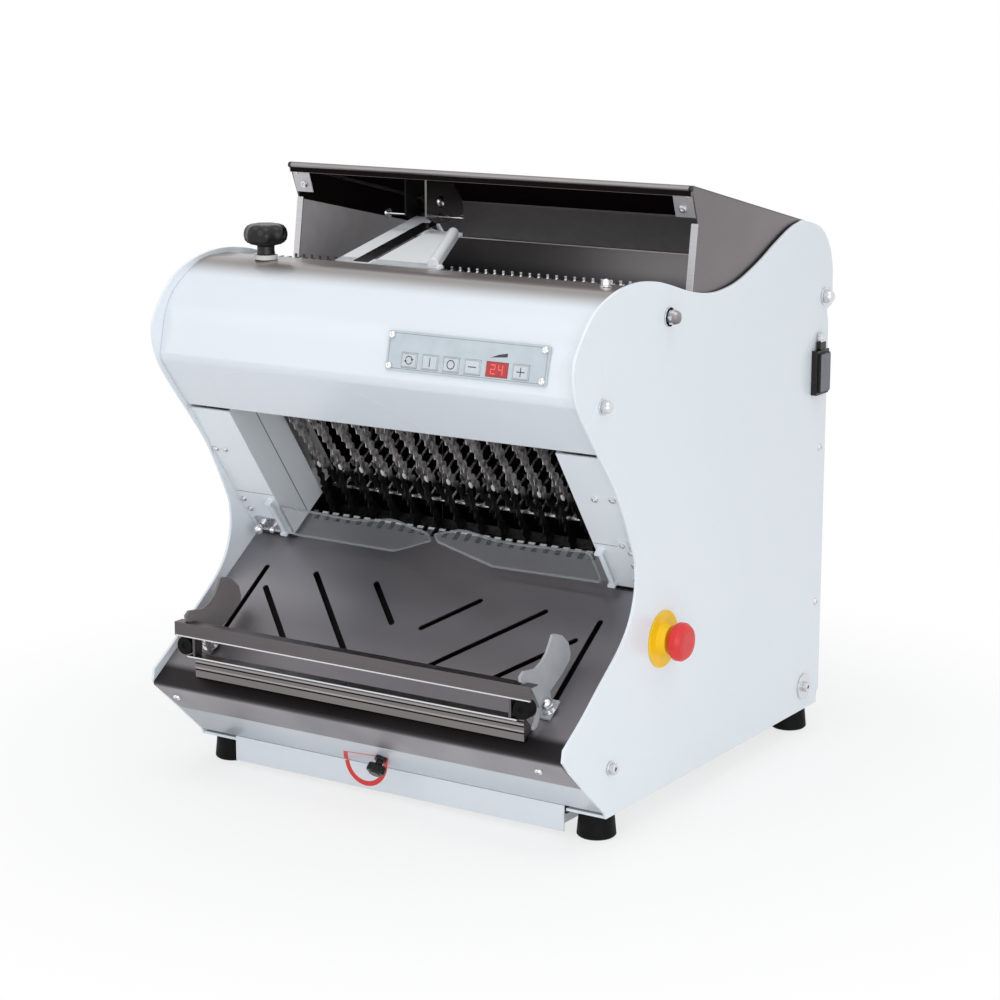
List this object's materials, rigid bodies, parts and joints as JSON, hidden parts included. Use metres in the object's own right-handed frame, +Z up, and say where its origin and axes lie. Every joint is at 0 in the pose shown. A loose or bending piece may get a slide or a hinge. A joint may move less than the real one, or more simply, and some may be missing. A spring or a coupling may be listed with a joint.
{
  "type": "bench-top bread slicer",
  "caption": "Bench-top bread slicer: tilted loaf hopper, crossing blade frames driven from a crankshaft, slotted outfeed tray with a stop bar, hinged hood and crumb drawer.",
  "frame": {"origin": "on the surface the machine stands on, under the middle of its overall box", "axes": "+Z up, +X to the operator's right, +Y from the operator's side to the back"},
  "size_m": [0.5634, 0.5756, 0.6477],
  "materials": {
    "white_paint": "smooth semi-gloss powder coat",
    "brushed_steel": "fine brushed stainless sheet",
    "bright_steel": "polished",
    "dark_steel": "dark coated",
    "black_rubber": "matt",
    "black_plastic": "satin moulded",
    "clear_plastic": "clear polished sheet",
    "pale_nylon": "machined",
    "red_plastic": "satin moulded",
    "yellow_plastic": "satin moulded",
    "control_film": "fine matt film",
    "key_film": "fine matt film",
    "red_window": "glossy window"
  },
  "bodies": {
    "frame": {"right_side_panel": "white_paint", "left_side_panel": "white_paint", "right_front_foot": "black_rubber", "right_rear_foot": "black_rubber", "left_front_foot": "black_rubber", "left_rear_foot": "black_rubber", "base_plate": "dark_steel", "rear_cover": "white_paint", "front_cowl": "white_paint", "control_plate": "control_film", "display_window": "red_window", "knob_bush": "pale_nylon", "right_guide": "white_paint", "left_guide": "white_paint", "outfeed_tray": "brushed_steel", "lower_front_panel": "white_paint", "right_frame_guide": "pale_nylon", "left_frame_guide": "pale_nylon", "right_infeed_wall": "brushed_steel", "left_infeed_wall": "brushed_steel", "infeed_grid": "bright_steel", "infeed_back_plate": "brushed_steel", "right_hood_pin": "bright_steel", "left_hood_pin": "bright_steel", "finger_strip": "brushed_steel", "front_tie_rod": "bright_steel", "rear_tie_rod": "bright_steel", "drive_belt": "black_rubber", "drive_stand": "dark_steel", "motor": "dark_steel", "estop_body": "yellow_plastic", "switch_box": "black_plastic"},
    "hood": {"hood": "brushed_steel", "hood_bracket": "brushed_steel"},
    "presser": {"presser_arm": "white_paint"},
    "front_blades": {"front_blade_frame": "brushed_steel", "front_blade_set": "bright_steel"},
    "rear_blades": {"rear_blade_frame": "brushed_steel", "rear_blade_set": "bright_steel"},
    "front_rod": {"front_connecting_rod": "dark_steel"},
    "rear_rod": {"rear_connecting_rod": "dark_steel"},
    "crank": {"crankshaft": "bright_steel", "driven_pulley": "dark_steel"},
    "rotor": {"motor_shaft": "bright_steel", "motor_pulley": "dark_steel"},
    "drawer": {"crumb_drawer": "white_paint"},
    "drawer_lock": {"drawer_lock_knob": "black_plastic"},
    "clamp_knob": {"clamp_knob": "black_plastic"},
    "estop": {"estop_button": "red_plastic"},
    "mode_key": {"mode_key": "key_film"},
    "start_key": {"start_key": "key_film"},
    "stop_key": {"stop_key": "key_film"},
    "minus_key": {"minus_key": "key_film"},
    "plus_key": {"plus_key": "key_film"},
    "right_flap": {"right_flap": "clear_plastic"},
    "left_flap": {"left_flap": "clear_plastic"},
    "stop_bar": {"right_stop_arm": "brushed_steel", "left_stop_arm": "brushed_steel", "upper_rail": "brushed_steel", "lower_rail": "brushed_steel"}
  },
  "joints": [
    {"name": "hood_hinge", "type": "hinge", "parent": "frame", "child": "hood", "pos_m": [-0.0084, 0.26675, 0.501], "axis": [1, 0, 0], "range_deg": [0, 13]},
    {"name": "presser_hinge", "type": "hinge", "parent": "hood", "child": "presser", "pos_m": [-0.1184, 0.02975, 0.59], "axis": [1, 0, 0], "range_deg": [-39, 0]},
    {"name": "front_blade_slide", "type": "slide", "parent": "frame", "child": "front_blades", "axis": [0, 0.6947, -0.7193], "range_m": [-0.012, 0.012]},
    {"name": "rear_blade_slide", "type": "slide", "parent": "frame", "child": "rear_blades", "axis": [0, 0.4384, -0.8988], "range_m": [-0.012, 0.012]},
    {"name": "front_rod_swing", "type": "hinge", "parent": "front_blades", "child": "front_rod", "pos_m": [-0.0924, 0.00734, 0.23351], "axis": [1, 0, 0], "range_deg": [-14, 0]},
    {"name": "rear_rod_swing", "type": "hinge", "parent": "rear_blades", "child": "rear_rod", "pos_m": [0.0756, -0.02138, 0.2134], "axis": [1, 0, 0], "range_deg": [0, 13.4]},
    {"name": "crank_turn", "type": "hinge", "parent": "frame", "child": "crank", "pos_m": [-0.0084, 0.05975, 0.15], "axis": [1, 0, 0], "continuous": true},
    {"name": "motor_turn", "type": "hinge", "parent": "frame", "child": "rotor", "pos_m": [-0.0084, 0.18775, 0.118], "axis": [1, 0, 0], "continuous": true},
    {"name": "drawer_slide", "type": "slide", "parent": "frame", "child": "drawer", "axis": [0, -1, 0], "range_m": [0, 0.22]},
    {"name": "drawer_lock_turn", "type": "hinge", "parent": "frame", "child": "drawer_lock", "pos_m": [-0.0084, -0.22522, 0.0527], "axis": [0, -0.6745, -0.7383], "range_deg": [0, 90]},
    {"name": "clamp_knob_turn", "type": "hinge", "parent": "frame", "child": "clamp_knob", "pos_m": [-0.1914, -0.17025, 0.575], "axis": [0, 0, 1], "range_deg": [0, 360]},
    {"name": "estop_push", "type": "slide", "parent": "frame", "child": "estop", "axis": [-1, 0, 0], "range_m": [0, 0.005]},
    {"name": "mode_key_press", "type": "slide", "parent": "frame", "child": "mode_key", "axis": [0, 0.9736, -0.2282], "range_m": [0, 0.0006], "stiffness_N_per_m": 1200},
    {"name": "start_key_press", "type": "slide", "parent": "frame", "child": "start_key", "axis": [0, 0.9736, -0.2282], "range_m": [0, 0.0006], "stiffness_N_per_m": 1200},
    {"name": "stop_key_press", "type": "slide", "parent": "frame", "child": "stop_key", "axis": [0, 0.9736, -0.2282], "range_m": [0, 0.0006], "stiffness_N_per_m": 1200},
    {"name": "minus_key_press", "type": "slide", "parent": "frame", "child": "minus_key", "axis": [0, 0.9736, -0.2282], "range_m": [0, 0.0006], "stiffness_N_per_m": 1200},
    {"name": "plus_key_press", "type": "slide", "parent": "frame", "child": "plus_key", "axis": [0, 0.9736, -0.2282], "range_m": [0, 0.0006], "stiffness_N_per_m": 1200},
    {"name": "right_flap_hinge", "type": "hinge", "parent": "frame", "child": "right_flap", "pos_m": [0.2026, -0.12425, 0.2643], "axis": [0, 0.5736, -0.8192], "range_deg": [-50, 0]},
    {"name": "left_flap_hinge", "type": "hinge", "parent": "frame", "child": "left_flap", "pos_m": [-0.2194, -0.12425, 0.2643], "axis": [0, -0.5736, 0.8192], "range_deg": [-50, 0]},
    {"name": "stop_bar_slide", "type": "slide", "parent": "frame", "child": "stop_bar", "axis": [0, 0.8192, 0.5736], "range_m": [0, 0.08]}
  ],
  "couplings": [
    {"joint": "presser_hinge", "follows": "hood_hinge", "ratio": -3},
    {"joint": "rear_blade_slide", "follows": "front_blade_slide", "ratio": -1},
    {"joint": "motor_turn", "follows": "crank_turn", "ratio": 1.8}
  ]
}
